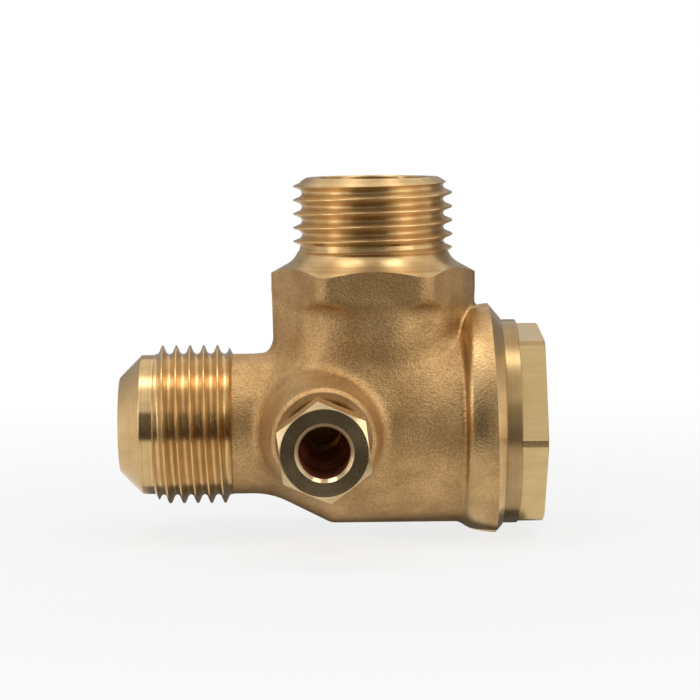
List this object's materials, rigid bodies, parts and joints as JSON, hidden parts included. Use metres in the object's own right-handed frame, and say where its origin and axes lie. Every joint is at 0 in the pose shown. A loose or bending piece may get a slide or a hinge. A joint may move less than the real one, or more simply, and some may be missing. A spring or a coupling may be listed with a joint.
{
  "type": "flare fitting with check valve",
  "caption": "Brass flare fitting with a built-in check valve: flared threaded inlet, threaded outlet at right angles, hex end cap over a sprung poppet, and a small hex unloader nipple.",
  "frame": {"origin": "on the outlet's axis, at the foot of the outlet thread", "axes": "+Z out of the outlet along its axis, +X along the barrel towards the end cap, -Y out of the unloader nipple; the barrel axis lies 22.8 mm below the origin"},
  "size_m": [0.0557, 0.0442, 0.0473],
  "materials": {
    "forged_brass": "blasted forging with bright turned ports and threads",
    "turned_brass": "bright turned and milled",
    "nitrile_rubber": "matt black",
    "stainless_steel": "bright drawn and turned"
  },
  "bodies": {
    "valve": {"valve_body": "forged_brass", "end_cap": "turned_brass", "cap_sealing_ring": "nitrile_rubber", "return_spring": "stainless_steel", "unloader_nipple": "turned_brass"},
    "poppet_set": {"poppet": "turned_brass", "poppet_seal": "nitrile_rubber", "seal_washer": "stainless_steel", "seal_screw": "stainless_steel"}
  },
  "joints": [
    {"name": "poppet_lift", "type": "slide", "parent": "valve", "child": "poppet_set", "axis": [1, 0, 0], "range_m": [0, 0.0035], "stiffness_N_per_m": 250, "springref_m": -0.004, "deforming": ["return_spring"]}
  ]
}
